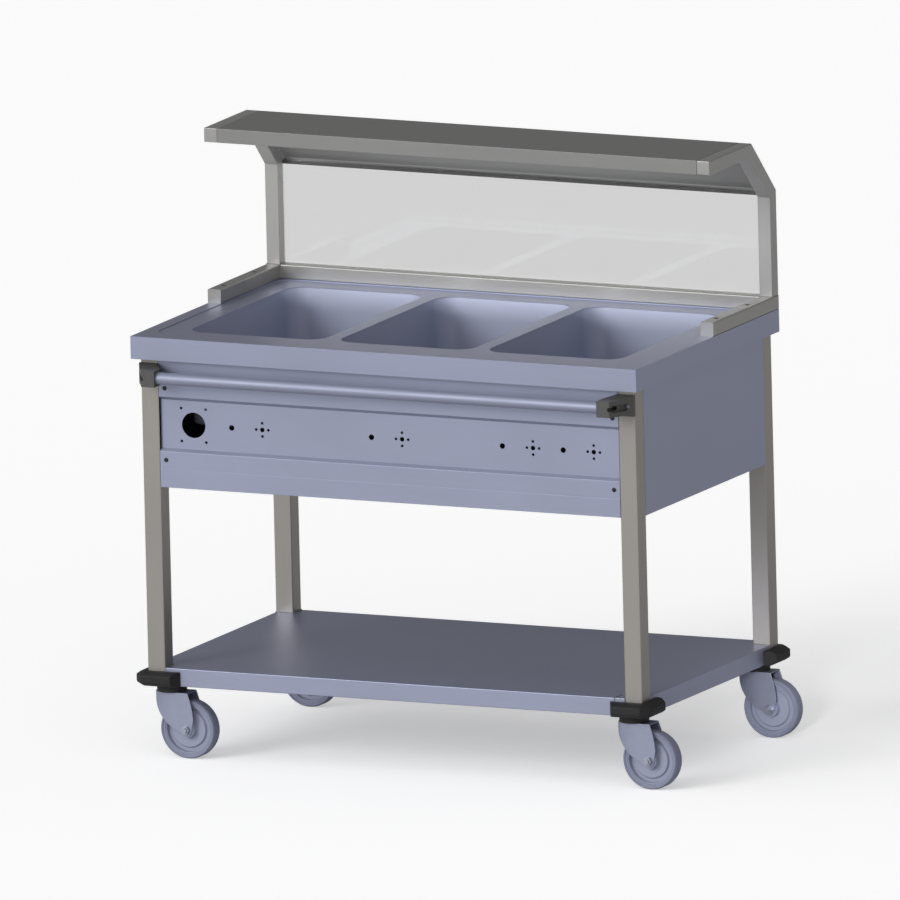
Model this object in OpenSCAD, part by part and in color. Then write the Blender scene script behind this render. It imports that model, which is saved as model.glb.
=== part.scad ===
// Bain marie trolley: a three-well hot food counter on four swivel castors.
// X runs along the trolley, from left to right, Y from the front to the rear, and Z upwards.
// The origin lies on the floor, under the middle of the trolley's outline at rest.

/* [Worktop] */
// Height of the worktop above the floor
top_h = 900; // [870:5:950]
// Height of the worktop's turned-down edge
edge_h = 48; // [42:1:56]
// Width of the lip that is folded in under the edge
lip_w = 10; // [6:1:11]
// Thickness of the worktop and well sheet
sheet_t = 1.5; // [1:0.1:2]
// Depth of the pressed field inside the raised rim
field_step = 2; // [1:0.5:3]
// Width of the raised rim along the front edge
rim_front = 40; // [34:1:46]
// Corner radius of the pressed field
field_r = 45; // [30:1:60]

/* [Wells] */
// Opening of a well along the trolley
well_w = 310; // [304:1:314]
// Opening of a well from front to rear
well_d = 520; // [505:1:530]
// Depth of a well below the rim, to its underside
well_h = 200; // [150:5:205]
// Corner radius of an opening
well_r = 40; // [25:1:60]
// Width of the bridge between two openings
well_gap = 32.5; // [32:0.5:36]
// Distance from the worktop's front edge to the openings
well_front = 93; // [90:1:98]
// Distance from the openings to the worktop's rear edge
well_back = 87; // [84:1:110]
// Distance from the outer openings to the worktop's side edges
well_side = 85; // [80:1:110]
// Radius between a well's wall and its floor
well_fillet = 10; // [5:1:14]
// Step from the edge of the sheet to the well's wall
well_setback = 1; // [0.5:0.1:2]
// Width of the flange that is welded under the worktop
flange_w = 10; // [6:1:12]

/* [Frame] */
// Side of the square leg tube
leg_s = 40; // [36:1:44]
// Wall of the leg tube
leg_t = 1.5; // [1.2:0.1:3]
// Outer corner radius of the leg tube
leg_r = 2.5; // [2:0.1:3]
// Distance from the worktop's side edge to the legs
leg_side = 13; // [12:0.5:16]
// Distance from the worktop's front edge to the legs
leg_front = 21; // [19:0.5:24]
// Distance from the worktop's rear edge to the legs
leg_rear = 14; // [12:0.5:18]
// Side of the rails that join the legs under the worktop
rail_s = 25; // [20:1:28]
// Wall of those rails
rail_t = 1.5; // [1.2:0.1:2.5]

/* [Body] */
// Depth of the body, from the worktop's upper face to the body's underside
body_d = 321; // [300:1:340]
// Thickness of the body and shelf sheet
panel_t = 1.2; // [0.8:0.1:1.5]
// Height of the strip below the control panel
strip_h = 39.5; // [30:0.5:45]
// Width of the folded flanges on the body sheets
fold_w = 15; // [12:1:18]
// Depth of the control panel's set-back field
recess = 7; // [4:0.5:10]
// Height of the control panel below its set-back field
field_up = 36.9; // [28:0.1:45]
// Height of the set-back field
field_h = 116.3; // [100:0.1:125]

/* [Control panel holes] */
// Height of the row of holes above the set-back field's lower fold
row_up = 58.1; // [52:0.1:64]
// Radius of the supply inlet's hole
inlet_r = 27; // [20:0.5:30]
// Distance from the worktop's left edge to the inlet's hole
inlet_x = 128.5; // [120:0.5:140]
// Spacing of the inlet's screw holes along the panel
inlet_sx = 56.5; // [50:0.5:60]
// Spacing of the inlet's screw holes up the panel
inlet_sz = 70; // [66:0.5:76]
// Radius of a pilot lamp's hole
lamp_r = 6; // [4:0.5:8]
// Radius of a thermostat's shaft hole
shaft_r = 5; // [4:0.5:7]
// Diameter of the circle of a thermostat's screw holes
knob_pcd = 28; // [24:1:34]
// Radius of the small screw holes
hole_r = 3; // [2:0.25:3.5]
// Distance from a lamp's hole to its thermostat's
lamp_gap = 70.5; // [60:0.5:80]
// Distance from the inlet's hole to the first lamp's
lamp_first = 87.5; // [75:0.5:100]
// Distance from the end of the row to the panel's right edge
row_end = 61.5; // [50:0.5:80]

/* [Shelf] */
// Height of the shelf's turned-down edge
apron_h = 38.2; // [30:0.1:60]
// Width of the stiffener under the shelf
stiff_w = 80; // [60:1:120]
// Height of the stiffener
stiff_h = 25; // [15:1:30]

/* [Handle] */
// Diameter of the handle tube
grip_dia = 25; // [20:0.5:28]
// Wall of the handle tube
grip_t = 1.5; // [1:0.1:3]
// Distance of the handle's axis below the worktop's upper face
grip_drop = 80; // [76:0.5:90]
// Distance of the handle's axis in front of the worktop
grip_out = 25; // [22:0.5:30]
// Length of the bracket's head along the tube
head_l = 30; // [24:1:36]
// Height of the bracket's head
head_h = 34; // [31:1:40]
// Height of the bracket's foot on the leg
foot_h = 45; // [42:1:50]

/* [Serving rail and hood] */
// Side of the square tube of the hood's frame
tube_s = 30; // [25:1:30]
// Wall of that tube
tube_t = 1.5; // [1.2:0.1:2.5]
// Height of a post's upright part above its base rail
post_h = 224; // [190:1:280]
// Run of the sloped part, from front to rear
bend_run = 113; // [90:1:140]
// Rise of the sloped part
bend_rise = 118; // [90:1:140]
// Length of the base rails and of the overhanging arms
arm_l = 320; // [280:1:360]
// Distance from a base rail's front end to its first bolt
bolt_y1 = 48; // [30:1:60]
// Distance from a base rail's front end to its second bolt
bolt_y2 = 201; // [150:1:240]
// Thickness of the glass pane
glass_t = 6; // [4:0.5:8]
// Height of the hood's front lip
hood_lip = 30; // [20:1:36]

/* [Bumpers] */
// Height of a corner bumper
bump_h = 31; // [24:1:36]
// Distance that a bumper stands out from the leg
bump_out = 25; // [17:0.5:27]
// Length of a bumper's arm past the leg
bump_arm = 35; // [24:1:50]

/* [Castors] */
// Diameter of a wheel
wheel_dia = 125; // [110:1:128]
// Width of a tyre
tyre_w = 32; // [28:0.5:34]
// Overall height of a castor
castor_h = 157; // [156:0.5:164]
// Distance from the swivel axis to the axle
trail = 40; // [36:0.5:42]
// Distance that a swivel axis stands inboard of its leg's centre, both ways
inboard = 17; // [12:0.5:20]
// Diameter of the swivel head
head_dia = 63; // [58:1:66]
// Width over the fork's cheeks
fork_w = 46.6; // [46:0.2:50]
// Thickness of the fork's sheet
fork_t = 2.5; // [2:0.1:3]
// Diameter of the axle bolt
axle_dia = 10; // [8:0.5:12]
// Radial running clearance of the axle, the swivel pin and the valve's stem
run_gap = 0.06; // [0.03:0.01:0.09]

/* [Heaters and drain] */
// Diameter of a heating element
heat_dia = 8.5; // [6:0.5:10]
// Spacing of a heating element's runs
heat_pitch = 60; // [45:1:70]
// Length of a heating element's straight runs
heat_l = 300; // [240:5:320]
// Radius of a well's outlet
drain_r = 10; // [8:0.5:14]
// Wall of the drain pipe
pipe_t = 1; // [0.8:0.1:2]
// Distance from a well's rear wall to its outlet
drain_back = 60; // [50:1:70]
// Width of the valve's lever
lever_w = 46; // [36:1:48]

/* [Hidden] */
$fn = 64;

sheet_colour = "#8C91A6";
leg_colour = "#96928E";
tube_colour = "#8E8E8E";
dark_colour = "#3A3A38";
zinc_colour = "#9094A9";
copper_colour = "#7A5A48";
glass_colour = "#D4D4D4";
brass_colour = "#B8A46A";
lever_colour = "#A03028";
tyre_colour = "#888CA0";

// What every cut runs past the face that it opens
over = 5;
// Gap left between neighbours that only meet closely
snug = 0.3;

// Sides: LEFT and RIGHT of the trolley, FRONT and REAR
LEFT = 0;
RIGHT = 1;
FRONT = 0;
REAR = 1;

// Worktop, which follows the three openings
wells_l = 3 * well_w + 2 * well_gap;
wells_x = well_side;
top_l = wells_l + 2 * well_side;
top_d = well_front + well_d + well_back;

// Pressed field and rim
rim_side = tube_s;
field_z = top_h - field_step;
field_under = field_z - sheet_t;

// Wells
well_pitch = well_w + well_gap;
tub_grow = well_setback + sheet_t;
tub_l = well_w + 2 * tub_grow;
tub_d = well_d + 2 * tub_grow;
tub_z = top_h - well_h;

// Legs
leg_xl = leg_side;
leg_xr = top_l - leg_side - leg_s;
leg_yf = leg_front;
leg_yr = top_d - leg_rear - leg_s;
bay_x0 = leg_xl + leg_s;
bay_x1 = leg_xr;
bay_y0 = leg_yf + leg_s;
bay_y1 = leg_yr;
out_x0 = leg_xl;
out_x1 = leg_xr + leg_s;
out_y0 = leg_yf;
out_y1 = leg_yr + leg_s;
rail_z = field_under - rail_s;
rail_x = tube_s - 4 * sheet_t;

// Control panel
fold_share = 0.414;
body_h = top_h - body_d;
seam_z = body_h + strip_h;
fold_low = seam_z + field_up;
fold_high = fold_low + field_h;
row_h = fold_low + row_up;
lamp_shares = [0, 0.386, 0.7475, 0.9155];
lamps_x0 = inlet_x + lamp_first;
row_l = bay_x1 - lamps_x0 - row_end;
panel_screw_in = 13.5;
panel_screw_dz = 18;
screw_r = 2;
screw_head_r = 3.75;
screw_head_h = 2.2;
lug_t = 3;
lug_w = 24;

// Shelf
shelf_z0 = castor_h + snug;
shelf_h = shelf_z0 + apron_h;

// Handle bracket, seen from above: distances in from the worktop's side and from its front edge
grip_h = top_h - grip_drop;
head_in = 43;
head_wall = 5.5;
grip_y = -grip_out;
foot_t = 9;
web_y = leg_front - foot_t;
head_front = grip_y - grip_dia / 2 - head_wall;
window_h = 15;
window_d = 8;
socket_l = 16;
bolt_r = 3;
bolt_head_r = 5;
bolt_head_h = 4;

// Hood and its frame
post_y = top_d - tube_s;
rail_y = top_d - arm_l;
rail_top = top_h + tube_s;
total_h = rail_top + post_h + bend_rise;
bend_z = total_h - bend_rise;
bend_y = top_d - bend_run;
slope = atan2(bend_rise, bend_run);
tab_h = 15;
access_r = 6.25;

// Bumpers: section in shares of height and depth, and its places along the leg's two sides
bump_cut = 20;
bump_end = 14;
bump_shares = [[0, 0], [0.55, 0], [1, 0.24], [1, 0.76], [0.55, 1], [0, 1]];
bump_inner = [
    [leg_s + bump_arm, 0],
    [0, 0],
    [0, 0],
    [0, leg_s + bump_arm]];
bump_outer = [
    [leg_s + bump_arm - bump_end, -bump_out],
    [bump_cut - bump_out, -bump_out],
    [-bump_out, bump_cut - bump_out],
    [-bump_out, leg_s + bump_arm - bump_end]];

// Castors
cover_h = 16;
swivel_zl = castor_h - cover_h;
plate_top = swivel_zl - snug;
plate_z = plate_top - fork_t;
axle_z = wheel_dia / 2;
pin_r = 6;
pin_head_r = 10;
pin_head_h = 4.5;
fork_half = fork_w / 2;
fork_inner = fork_half - fork_t;
hub_half = fork_inner - 2 * snug;
drop = plate_top - axle_z;
boss_share = 0.178;
lead_share = 1.085;
lead_x_share = 1.229;
lead_r = lead_share * drop;
nose_reach = lead_r - lead_x_share * trail;
nose_r = 16;
flank_x = 21;
nut_af = 17;
brim_share = 0.75;
neck_share = 0.86;
tail_shares = [[1.126, 1], [1.288, 0.754], [1.39, 0.505], [1.44, 0.29]];
lead_low_share = 0.552;
boss_turn = 127;
flank_n = 4;
nose_n = 12;
boss_n = 10;
lead_n = 14;

// Wheel centre and tyre: shares of the wheel's radius and of half the tyre's width, to the tread
disc_shares = [
    [0.272, 1], [0.304, 0.5], [0.6, 0.5], [0.624, 0.4],
    [0.648, 0.22], [0.76, 0.22], [0.784, 0.75], [0.816, 0.75]];
tread_shares = [
    [0.816, 0.8], [0.832, 0.84], [0.896, 0.84], [0.912, 0.94],
    [0.936, 1], [0.96, 0.95], [0.986, 0.8], [1, 0.5]];
nut_h = 6;

// Drain
pipe_r = drain_r + pipe_t;
manifold_drop = 48;
manifold_z = tub_z - manifold_drop;
drain_y = well_front + well_d - drain_back;
valve_sink = 2;
socket_h = 12;
valve_top = body_h - valve_sink;
valve_r = 15;
valve_h = 44;
stem_r = 4;
stem_drop = 26;
stem_z = valve_top - stem_drop;
nut_share = 0.32;
nut_grow_share = 1.2;
stem_seat_share = 0.7;
port_r = 7.5;
stop_t = 1;
stop_share = 0.9;
spout_l = 14;
boss_r = 8;
boss_l = 24;
waist_share = 0.6;

// The frame's origin: the middle of the outline, wheels, bumpers and handle included
castor_in = leg_side + leg_s / 2 + inboard;
wheel_over = trail + wheel_dia / 2 - castor_in;
bump_over = bump_out - leg_side;
origin_x = (top_l + wheel_over - bump_over) / 2;
origin_y = (out_y1 + bump_out + head_front) / 2;

module in_frame() {
    translate([-origin_x, -origin_y, 0]) children();
}

// A piece of the left side, or its mirror image on the right side
module on_side(side) {
    if (side == LEFT) children();
    if (side == RIGHT) translate([top_l, 0, 0]) mirror([1, 0, 0]) children();
}

module rounded_rect(l, w, r) {
    translate([r, 0]) square([l - 2 * r, w]);
    translate([0, r]) square([l, w - 2 * r]);
    for (x = [r, l - r], y = [r, w - r]) translate([x, y]) circle(r = r);
}

// Square tube along Z, with rounded corners
module tube_z(s, t, r, l) {
    difference() {
        linear_extrude(l) rounded_rect(s, s, r);
        translate([t, t, -over]) linear_extrude(l + 2 * over) rounded_rect(s - 2 * t, s - 2 * t, r - t / 2);
    }
}

module tube_x(s, t, r, l) {
    translate([0, 0, s]) rotate([0, 90, 0]) tube_z(s, t, r, l);
}

module tube_y(s, t, r, l) {
    translate([0, l, 0]) rotate([90, 0, 0]) tube_z(s, t, r, l);
}

// WORKTOP: one folded sheet with a raised rim, a pressed field and three openings
module worktop() {
    field_l = top_l - 2 * rim_side;
    field_d = top_d - rim_front - tube_s;
    color(sheet_colour) in_frame() difference() {
        union() {
            difference() {
                translate([0, 0, top_h - edge_h]) cube([top_l, top_d, edge_h]);
                translate([sheet_t, sheet_t, top_h - edge_h + sheet_t])
                    cube([top_l - 2 * sheet_t, top_d - 2 * sheet_t, edge_h - 2 * sheet_t]);
                translate([sheet_t + lip_w, sheet_t + lip_w, top_h - edge_h - over])
                    cube([top_l - 2 * sheet_t - 2 * lip_w, top_d - 2 * sheet_t - 2 * lip_w, edge_h]);
            }
            translate([rim_side - sheet_t, rim_front - sheet_t, field_under])
                linear_extrude(field_step + sheet_t / 2)
                    rounded_rect(field_l + 2 * sheet_t, field_d + 2 * sheet_t, field_r + sheet_t);
        }
        translate([rim_side, rim_front, field_z])
            linear_extrude(field_step + over) rounded_rect(field_l, field_d, field_r);
        for (i = [0:2])
            translate([wells_x + i * well_pitch, well_front, field_under - over])
                linear_extrude(2 * over + sheet_t) rounded_rect(well_w, well_d, well_r);
        rail_bolt_places() cylinder(r = bolt_r + snug, h = 2 * edge_h, center = true);
    }
}

// WELLS
module corner_profile(r, h, f) {
    difference() {
        square([r, h]);
        translate([r - f, 0]) square([f, f]);
    }
    intersection() {
        translate([r - f, f]) circle(r = f);
        square([r, h]);
    }
}

module bar_profile(w, h, f) {
    translate([f, 0]) square([w - 2 * f, h]);
    translate([0, f]) square([w, h - f]);
    for (x = [f, w - f]) translate([x, f]) circle(r = f);
}

// Box with upright corners of radius r and a rounded lower edge of radius f
module tub_body(l, w, h, r, f) {
    for (x = [r, l - r], y = [r, w - r])
        translate([x, y, 0]) rotate_extrude() corner_profile(r, h, f);
    translate([r, 0, 0]) rotate([90, 0, 90]) linear_extrude(l - 2 * r) bar_profile(w, h, f);
    translate([0, w - r, 0]) rotate([90, 0, 0]) linear_extrude(w - 2 * r) bar_profile(l, h, f);
}

module well(i) {
    depth = field_under - tub_z;
    outer_r = well_r + tub_grow;
    inner_r = well_r + well_setback;
    color(sheet_colour) in_frame()
        translate([wells_x + i * well_pitch - tub_grow, well_front - tub_grow, tub_z]) difference() {
            union() {
                tub_body(tub_l, tub_d, depth, outer_r, well_fillet);
                translate([-flange_w, -flange_w, depth - sheet_t]) linear_extrude(sheet_t)
                    rounded_rect(tub_l + 2 * flange_w, tub_d + 2 * flange_w, outer_r + flange_w);
            }
            translate([sheet_t, sheet_t, sheet_t])
                tub_body(tub_l - 2 * sheet_t, tub_d - 2 * sheet_t, depth, inner_r, well_fillet - sheet_t);
            translate([tub_l / 2, tub_d - tub_grow - drain_back, -over]) cylinder(r = drain_r, h = 2 * over);
        }
}

// HEATERS: a tubular element in four runs, held up by a bar on two studs
module heater(i) {
    r = heat_dia / 2;
    bend_r = heat_pitch / 2;
    cap_r = r + snug / 2;
    cap_l = 2 * heat_dia;
    bar_t = 2 * sheet_t;
    bar_w = 2 * heat_dia;
    bar_l = 3 * heat_pitch + 6 * heat_dia;
    bar_z = -snug - heat_dia - bar_t;
    start_y = well_front + 6 * heat_dia + bend_r;
    color(copper_colour) in_frame()
        translate([wells_x + i * well_pitch + well_w / 2, start_y, tub_z]) {
            translate([0, 0, -snug - r]) {
                for (k = [-1.5:1:1.5])
                    translate([k * heat_pitch, 0, 0]) rotate([-90, 0, 0]) cylinder(r = r, h = heat_l);
                for (k = [-1, 1])
                    translate([k * heat_pitch, heat_l, 0]) rotate_extrude(angle = 180)
                        translate([bend_r, 0]) circle(r = r);
                rotate([0, 0, 180]) rotate_extrude(angle = 180) translate([bend_r, 0]) circle(r = r);
                for (k = [-1.5, 1.5])
                    translate([k * heat_pitch, 0, 0]) rotate([90, 0, 0]) cylinder(r = cap_r, h = cap_l);
            }
            translate([-bar_l / 2, heat_l / 2 - bar_w / 2, bar_z]) cube([bar_l, bar_w, bar_t]);
            for (k = [-1, 1])
                translate([k * heat_pitch, heat_l / 2, bar_z + bar_t / 2])
                    cylinder(r = r, h = -bar_z - bar_t / 2);
        }
}

// DRAIN: tails from the wells, a manifold pipe and one outlet through the body's floor
// r: radius of the pipes, extra: run past their open ends, cap: run past the outer tails
module drain_paths(r, extra, cap) {
    first_x = wells_x + well_w / 2;
    low = valve_top - socket_h - extra;
    for (i = [0:2])
        translate([first_x + i * well_pitch, drain_y, manifold_z])
            cylinder(r = r, h = tub_z - manifold_z + extra);
    translate([first_x - cap, drain_y, manifold_z]) rotate([0, 90, 0])
        cylinder(r = r, h = 2 * well_pitch + 2 * cap);
    translate([first_x + well_pitch, drain_y, low]) cylinder(r = r, h = manifold_z - low);
}

module drain_manifold() {
    disc_r = 2 * drain_r;
    color(zinc_colour) in_frame() difference() {
        union() {
            drain_paths(pipe_r, 0, pipe_r);
            for (i = [0:2])
                translate([wells_x + well_w / 2 + i * well_pitch, drain_y, tub_z - 2 * sheet_t])
                    cylinder(r = disc_r, h = 2 * sheet_t);
        }
        drain_paths(drain_r, over, 0);
    }
}

// Angle valve: socket nut, barrel, spout to the rear with a hose stop, and the stem's boss
module drain_valve() {
    mid_x = top_l / 2;
    nut_h = valve_h * nut_share;
    root_l = valve_r + stop_t;
    color(brass_colour) in_frame() translate([mid_x, drain_y, 0]) difference() {
        union() {
            translate([0, 0, valve_top - nut_h]) cylinder(r = valve_r * nut_grow_share, h = nut_h, $fn = 6);
            translate([0, 0, valve_top - valve_h]) cylinder(r = valve_r, h = valve_h);
            translate([0, 0, stem_z]) rotate([-90, 0, 0]) {
                cylinder(r = valve_r * stop_share, h = root_l);
                cylinder(r = pipe_r, h = root_l + spout_l);
            }
            translate([0, 0, stem_z]) rotate([90, 0, 0]) cylinder(r = boss_r, h = boss_l);
        }
        translate([0, 0, valve_top - socket_h]) cylinder(r = pipe_r, h = socket_h + over);
        translate([0, 0, stem_z]) cylinder(r = port_r, h = valve_top - socket_h - stem_z + over);
        translate([0, -port_r - pipe_t, stem_z]) rotate([-90, 0, 0])
            cylinder(r = drain_r - pipe_t, h = port_r + pipe_t + root_l + spout_l + over);
        translate([0, -valve_r * stem_seat_share, stem_z]) rotate([90, 0, 0])
            cylinder(r = stem_r + run_gap, h = boss_l);
    }
}

module drain_lever() {
    mid_x = top_l / 2;
    plate_t = 3;
    plate_y = -boss_l - snug;
    seat_y = valve_r * stem_seat_share + snug;
    color(lever_colour) in_frame() translate([mid_x, drain_y, stem_z]) {
        translate([0, -seat_y, 0]) rotate([90, 0, 0])
            cylinder(r = stem_r, h = boss_l + snug + plate_t - seat_y);
        translate([0, plate_y, 0]) rotate([90, 0, 0]) linear_extrude(plate_t) {
            circle(r = boss_r);
            for (k = [-1, 1]) {
                translate([k * (lever_w / 2 - boss_r), 0]) circle(r = boss_r);
                translate([k < 0 ? boss_r - lever_w / 2 : 0, -boss_r * waist_share])
                    square([lever_w / 2 - boss_r, 2 * boss_r * waist_share]);
            }
        }
    }
}

// BODY
// Control panel: outline of its section, from the top fold down to the seam
function panel_line(d) = [
    [out_y0 + d, rail_z - snug],
    [out_y0 + d, fold_high - d * fold_share],
    [out_y0 + recess + d, fold_high - recess - d * fold_share],
    [out_y0 + recess + d, fold_low + recess + d * fold_share],
    [out_y0 + d, fold_low + d * fold_share],
    [out_y0 + d, seam_z + d]];

module control_holes() {
    for (i = [0:3]) {
        lamp_x = lamps_x0 + lamp_shares[i] * row_l;
        translate([lamp_x, 0, row_h]) rotate([-90, 0, 0]) cylinder(r = lamp_r, h = leg_s + out_y0);
        translate([lamp_x + lamp_gap, 0, row_h]) rotate([-90, 0, 0]) {
            cylinder(r = shaft_r, h = leg_s + out_y0);
            for (a = [0:90:270])
                rotate([0, 0, a]) translate([knob_pcd / 2, 0, 0]) cylinder(r = hole_r, h = leg_s + out_y0);
        }
    }
    translate([inlet_x, 0, row_h]) rotate([-90, 0, 0]) {
        cylinder(r = inlet_r, h = leg_s + out_y0);
        for (x = [-1, 1], z = [-1, 1])
            translate([x * inlet_sx / 2, z * inlet_sz / 2, 0]) cylinder(r = hole_r, h = leg_s + out_y0);
    }
}

module panel_screw_places() {
    for (x = [bay_x0 + panel_screw_in, bay_x1 - panel_screw_in])
        for (z = [fold_low - panel_screw_dz, fold_high + panel_screw_dz])
            translate([x, out_y0, z]) rotate([-90, 0, 0]) children();
}

module front_panel() {
    color(sheet_colour) in_frame() difference() {
        union() {
            translate([bay_x0, 0, 0]) rotate([90, 0, 90]) linear_extrude(bay_x1 - bay_x0)
                polygon(concat(panel_line(0), turned(panel_line(panel_t))));
            translate([bay_x0, out_y0, seam_z]) cube([bay_x1 - bay_x0, fold_w, panel_t]);
        }
        control_holes();
        panel_screw_places() cylinder(r = screw_r + snug / 2, h = fold_w, center = true);
    }
}

module panel_screws() {
    color(zinc_colour) in_frame() panel_screw_places() {
        translate([0, 0, -screw_head_h]) cylinder(r = screw_head_r, h = screw_head_h);
        translate([0, 0, -screw_head_h / 2]) cylinder(r = screw_r, h = screw_head_h / 2 + panel_t + lug_t);
    }
}

module side_panel(side) {
    panel_l = bay_y1 - bay_y0;
    panel_h = rail_z - body_h;
    color(sheet_colour) in_frame() on_side(side) translate([out_x0, bay_y0, body_h]) {
        cube([panel_t, panel_l, panel_h]);
        for (z = [panel_t, panel_h - panel_t])
            translate([0, 0, z]) cube([fold_w + leg_s / 4, panel_l, panel_t]);
        for (y = [0, panel_l - panel_t])
            translate([0, y, panel_t]) cube([fold_w, panel_t, panel_h - panel_t]);
    }
}

module back_panel() {
    panel_l = bay_x1 - bay_x0;
    panel_h = rail_z - body_h;
    color(sheet_colour) in_frame() translate([bay_x0, out_y1 - panel_t, body_h]) {
        cube([panel_l, panel_t, panel_h]);
        for (z = [panel_t, panel_h - panel_t])
            translate([0, -fold_w, z]) cube([panel_l, fold_w + panel_t, panel_t]);
        for (x = [0, panel_l - panel_t])
            translate([x, -fold_w, panel_t]) cube([panel_t, fold_w, panel_h - panel_t]);
    }
}

// Floor of the body, with the strip below the control panel folded up from it
module body_floor() {
    color(sheet_colour) in_frame() difference() {
        union() {
            translate([bay_x0, out_y0, body_h]) cube([bay_x1 - bay_x0, out_y1 - out_y0 - panel_t, panel_t]);
            translate([out_x0 + panel_t, bay_y0, body_h])
                cube([out_x1 - out_x0 - 2 * panel_t, bay_y1 - bay_y0, panel_t]);
            translate([bay_x0, out_y0, body_h]) cube([bay_x1 - bay_x0, panel_t, strip_h]);
            translate([bay_x0, out_y0, seam_z - panel_t]) cube([bay_x1 - bay_x0, fold_w, panel_t]);
        }
        translate([top_l / 2, drain_y, body_h])
            cylinder(r = valve_r * nut_grow_share + snug, h = over, center = true);
    }
}

// FRAME
module leg(side, place) {
    leg_y = place == FRONT ? leg_yf : leg_yr;
    lug_z = [fold_low - panel_screw_dz, fold_high + panel_screw_dz];
    color(leg_colour) in_frame() on_side(side) difference() {
        union() {
            translate([leg_xl, leg_y, castor_h]) tube_z(leg_s, leg_t, leg_r, field_under - castor_h);
            if (place == FRONT)
                for (z = lug_z)
                    translate([bay_x0 - leg_t / 2, out_y0 + panel_t, z - lug_w / 2])
                        cube([lug_w + leg_t / 2, lug_t, lug_w]);
        }
        if (place == FRONT) {
            for (z = lug_z)
                translate([bay_x0 + panel_screw_in, out_y0 - over, z]) rotate([-90, 0, 0])
                    cylinder(r = screw_r, h = fold_w + over);
            handle_screw_places() cylinder(r = bolt_r, h = 2 * leg_t + over);
        }
    }
}

// Four rails between the legs, which carry the worktop
module top_frame() {
    color(leg_colour) in_frame() {
        for (y = [out_y0 + recess + panel_t, out_y1 - recess - rail_s])
            translate([bay_x0, y, rail_z]) tube_x(rail_s, rail_t, leg_r, bay_x1 - bay_x0);
        for (x = [rail_x, top_l - rail_x - rail_s])
            translate([x, bay_y0, rail_z]) tube_y(rail_s, rail_t, leg_r, bay_y1 - bay_y0);
    }
}

// SHELF: a folded tray with its open side down, notched round the legs
module shelf_outline(inset) {
    notch = leg_s + snug + inset;
    difference() {
        translate([out_x0 + inset, out_y0 + inset])
            square([out_x1 - out_x0 - 2 * inset, out_y1 - out_y0 - 2 * inset]);
        for (x = [out_x0, out_x1 - notch], y = [out_y0, out_y1 - notch]) translate([x, y]) square(notch);
    }
}

module shelf() {
    color(sheet_colour) in_frame() difference() {
        translate([0, 0, shelf_z0]) linear_extrude(apron_h) shelf_outline(0);
        translate([0, 0, shelf_z0 + panel_t]) linear_extrude(apron_h - 2 * panel_t) shelf_outline(panel_t);
        translate([0, 0, shelf_z0 - over]) linear_extrude(apron_h) shelf_outline(fold_w);
    }
}

module shelf_stiffener() {
    y_mid = (out_y0 + out_y1) / 2;
    brim = stiff_w / 5;
    flank = stiff_w / 2 - brim;
    z = shelf_h - panel_t;
    color(sheet_colour) in_frame() translate([out_x0 + panel_t, y_mid, z]) rotate([90, 0, 90])
        linear_extrude(out_x1 - out_x0 - 2 * panel_t) {
            for (k = [-1, 1]) {
                translate([k < 0 ? -stiff_w / 2 : flank - panel_t, -panel_t])
                    square([brim + panel_t, panel_t]);
                translate([k < 0 ? -flank : flank - panel_t, -stiff_h]) square([panel_t, stiff_h]);
            }
            translate([-flank, -stiff_h]) square([2 * flank, panel_t]);
        }
}

// BUMPERS: one moulding round the leg's outer corner, with a bevelled section and cut corners
module bumper(side, place) {
    n = len(bump_shares);
    corners = [for (i = [0:3]) for (p = bump_shares)
        concat(bump_inner[i] + (bump_outer[i] - bump_inner[i]) * p[0], [bump_h * p[1]])];
    skins = [for (i = [0:2]) for (k = [0:n - 1])
        [i * n + k, i * n + (k + 1) % n, (i + 1) * n + (k + 1) % n, (i + 1) * n + k]];
    ends = [[for (k = [n - 1:-1:0]) k], [for (k = [0:n - 1]) 3 * n + k]];
    color(dark_colour) in_frame() on_side(side)
        translate([out_x0, place == FRONT ? out_y0 : out_y1, castor_h])
            mirror([0, place == FRONT ? 0 : 1, 0]) polyhedron(corners, concat(ends, skins));
}

// HANDLE
module handle_tube() {
    end_in = head_in + head_l - socket_l;
    grip_l = top_l - 2 * end_in;
    color(zinc_colour) in_frame() translate([end_in, grip_y, grip_h]) rotate([0, 90, 0]) difference() {
        cylinder(r = grip_dia / 2, h = grip_l);
        translate([0, 0, -over]) cylinder(r = grip_dia / 2 - grip_t, h = grip_l + 2 * over);
    }
}

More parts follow.
